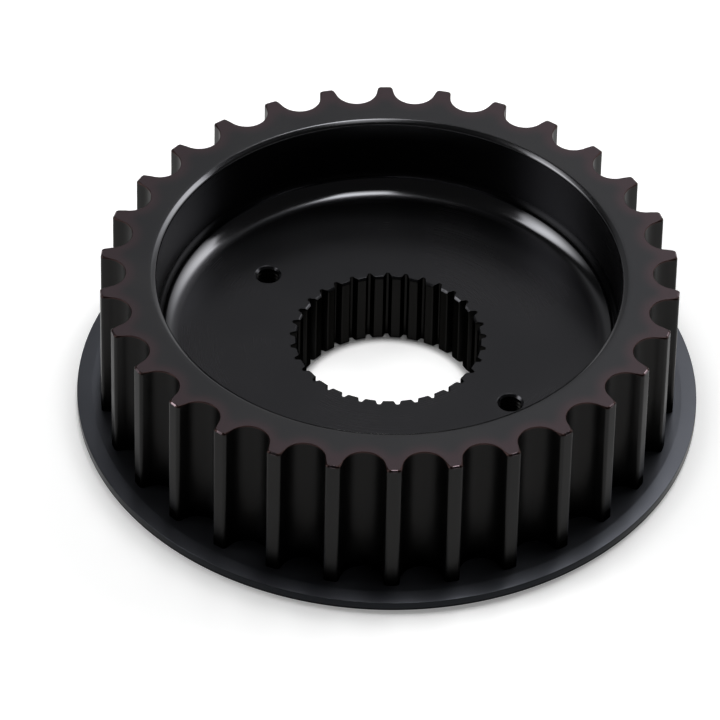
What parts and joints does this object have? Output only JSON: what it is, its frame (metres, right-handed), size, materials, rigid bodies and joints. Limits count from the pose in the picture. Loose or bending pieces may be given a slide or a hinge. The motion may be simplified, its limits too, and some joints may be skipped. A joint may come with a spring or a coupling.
{
  "type": "toothed belt pulley",
  "caption": "One-piece flanged belt pulley with round-bottomed teeth, a deep dish, a splined bore and two tapped holes for a lock plate.",
  "frame": {"origin": "on the pulley's axis, in the plane of the hub face that it rests on", "axes": "+Z along the pulley's axis, out of the dish; the two tapped holes lie on the X axis"},
  "size_m": [0.1414, 0.1414, 0.0384],
  "materials": {
    "black_oxide_steel": "satin black oxide on machined steel"
  },
  "bodies": {
    "root": {"pulley": "black_oxide_steel"}
  },
  "joints": []
}
